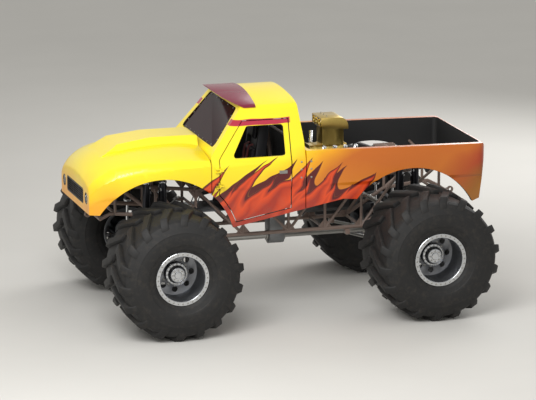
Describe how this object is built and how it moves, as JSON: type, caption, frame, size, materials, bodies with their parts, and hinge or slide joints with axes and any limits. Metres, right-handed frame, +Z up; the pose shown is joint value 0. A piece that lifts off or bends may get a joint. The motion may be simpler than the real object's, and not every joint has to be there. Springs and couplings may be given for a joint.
{
  "type": "monster truck",
  "caption": "Monster truck: pickup shell on a tube chassis, huge lugged tyres, four-wheel steering, opening doors and a supercharged engine open to view.",
  "frame": {"origin": "on the ground under the middle of the truck", "axes": "+X forward, towards the nose; +Y to the driver's left; +Z up"},
  "size_m": [5.4, 3.81, 2.9443],
  "materials": {
    "frame_tube": "powder coat, satin",
    "axle_paint": "chassis enamel",
    "link_steel": "plated steel tube",
    "polished_rod": "hard chrome",
    "shock_aluminium": "anodised",
    "knuckle_steel": "painted casting",
    "wheel_metal": "satin, bright edges",
    "tyre_rubber": "dusty matt rubber",
    "engine_paint": "engine enamel",
    "blower_aluminium": "cast and polished",
    "header_chrome": "chrome, heat tinted",
    "gearbox_aluminium": "as cast",
    "floor_aluminium": "brushed sheet",
    "seat_shell": "padded shell",
    "steering_wheel_grip": "grip",
    "body_paint": "painted glass fibre, yellow fading to orange",
    "glass": "dark tinted sheet",
    "visor_paint": "maroon enamel",
    "grille_trim": "black, moulded",
    "lamp_glass": "clear lens over a bright bowl",
    "belt_drive": "toothed belt on machined pulleys"
  },
  "bodies": {
    "chassis": {"frame_side_left": "frame_tube", "frame_side_right": "frame_tube", "frame_cross_tubes": "frame_tube", "shock_bars": "frame_tube", "bumpers": "frame_tube", "tow_eyes": "frame_tube", "axle_front": "axle_paint", "axle_rear": "axle_paint", "links_front": "link_steel", "links_rear": "link_steel", "shocks_front": "shock_aluminium", "shocks_rear": "shock_aluminium", "body_mounts": "frame_tube", "roll_cage": "frame_tube", "engine_block": "engine_paint", "supercharger": "blower_aluminium", "headers": "header_chrome", "gearbox": "gearbox_aluminium", "driveshaft_front": "link_steel", "driveshaft_rear": "link_steel", "floor_pan": "floor_aluminium", "seat": "seat_shell", "steering_wheel": "steering_wheel_grip", "front_clip": "body_paint", "cab": "body_paint", "bed": "body_paint", "windshield": "glass", "grille": "grille_trim", "headlamps": "lamp_glass", "visor": "visor_paint", "blower_drive": "belt_drive"},
    "knuckle_front_left_body": {"knuckle_front_left": "knuckle_steel"},
    "wheel_front_left_body": {"wheel_front_left": "wheel_metal", "tyre_front_left": "tyre_rubber"},
    "knuckle_front_right_body": {"knuckle_front_right": "knuckle_steel"},
    "wheel_front_right_body": {"wheel_front_right": "wheel_metal", "tyre_front_right": "tyre_rubber"},
    "knuckle_rear_left_body": {"knuckle_rear_left": "knuckle_steel"},
    "wheel_rear_left_body": {"wheel_rear_left": "wheel_metal", "tyre_rear_left": "tyre_rubber"},
    "knuckle_rear_right_body": {"knuckle_rear_right": "knuckle_steel"},
    "wheel_rear_right_body": {"wheel_rear_right": "wheel_metal", "tyre_rear_right": "tyre_rubber"},
    "tie_rod_front_body": {"tie_rod_front": "link_steel"},
    "steering_rod_front_body": {"steering_rod_front": "polished_rod"},
    "tie_rod_rear_body": {"tie_rod_rear": "link_steel"},
    "steering_rod_rear_body": {"steering_rod_rear": "polished_rod"},
    "door_left_body": {"door_left": "body_paint"},
    "door_right_body": {"door_right": "body_paint"}
  },
  "joints": [
    {"name": "front_steering", "type": "hinge", "parent": "chassis", "child": "knuckle_front_left_body", "pos_m": [1.75, 0.8, 0.838], "axis": [0, 0, 1], "range_deg": [-25, 25]},
    {"name": "front_steering_right", "type": "hinge", "parent": "chassis", "child": "knuckle_front_right_body", "pos_m": [1.75, -0.8, 0.838], "axis": [0, 0, 1], "range_deg": [-25, 25]},
    {"name": "front_tie_rod_pivot", "type": "hinge", "parent": "knuckle_front_left_body", "child": "tie_rod_front_body", "pos_m": [2.05, 0.8, 0.8025], "axis": [0, 0, 1], "range_deg": [-26, 26]},
    {"name": "front_steering_cylinder", "type": "slide", "parent": "chassis", "child": "steering_rod_front_body", "axis": [0, 1, 0], "range_m": [-0.13, 0.13]},
    {"name": "wheel_front_left_spin", "type": "hinge", "parent": "knuckle_front_left_body", "child": "wheel_front_left_body", "pos_m": [1.75, 1.359, 0.838], "axis": [0, 1, 0], "continuous": true},
    {"name": "wheel_front_right_spin", "type": "hinge", "parent": "knuckle_front_right_body", "child": "wheel_front_right_body", "pos_m": [1.75, -1.359, 0.838], "axis": [0, 1, 0], "continuous": true},
    {"name": "rear_steering", "type": "hinge", "parent": "chassis", "child": "knuckle_rear_left_body", "pos_m": [-1.75, 0.8, 0.838], "axis": [0, 0, 1], "range_deg": [-20, 20]},
    {"name": "rear_steering_right", "type": "hinge", "parent": "chassis", "child": "knuckle_rear_right_body", "pos_m": [-1.75, -0.8, 0.838], "axis": [0, 0, 1], "range_deg": [-20, 20]},
    {"name": "rear_tie_rod_pivot", "type": "hinge", "parent": "knuckle_rear_left_body", "child": "tie_rod_rear_body", "pos_m": [-2.05, 0.8, 0.8025], "axis": [0, 0, 1], "range_deg": [-21, 21]},
    {"name": "rear_steering_cylinder", "type": "slide", "parent": "chassis", "child": "steering_rod_rear_body", "axis": [0, 1, 0], "range_m": [-0.13, 0.13]},
    {"name": "wheel_rear_left_spin", "type": "hinge", "parent": "knuckle_rear_left_body", "child": "wheel_rear_left_body", "pos_m": [-1.75, 1.359, 0.838], "axis": [0, 1, 0], "continuous": true},
    {"name": "wheel_rear_right_spin", "type": "hinge", "parent": "knuckle_rear_right_body", "child": "wheel_rear_right_body", "pos_m": [-1.75, -1.359, 0.838], "axis": [0, 1, 0], "continuous": true},
    {"name": "door_left_hinge", "type": "hinge", "parent": "chassis", "child": "door_left_body", "pos_m": [0.994, 0.969, 1.9], "axis": [0, 0, -1], "range_deg": [0, 50]},
    {"name": "door_right_hinge", "type": "hinge", "parent": "chassis", "child": "door_right_body", "pos_m": [0.994, -0.969, 1.9], "axis": [0, 0, 1], "range_deg": [0, 50]}
  ],
  "couplings": [
    {"joint": "front_steering_right", "follows": "front_steering", "ratio": 1},
    {"joint": "front_tie_rod_pivot", "follows": "front_steering", "ratio": -1},
    {"joint": "front_steering_cylinder", "follows": "front_steering", "m_per_rad": 0.2906},
    {"joint": "rear_steering_right", "follows": "rear_steering", "ratio": 1},
    {"joint": "rear_tie_rod_pivot", "follows": "rear_steering", "ratio": -1},
    {"joint": "rear_steering_cylinder", "follows": "rear_steering", "m_per_rad": -0.2939}
  ]
}
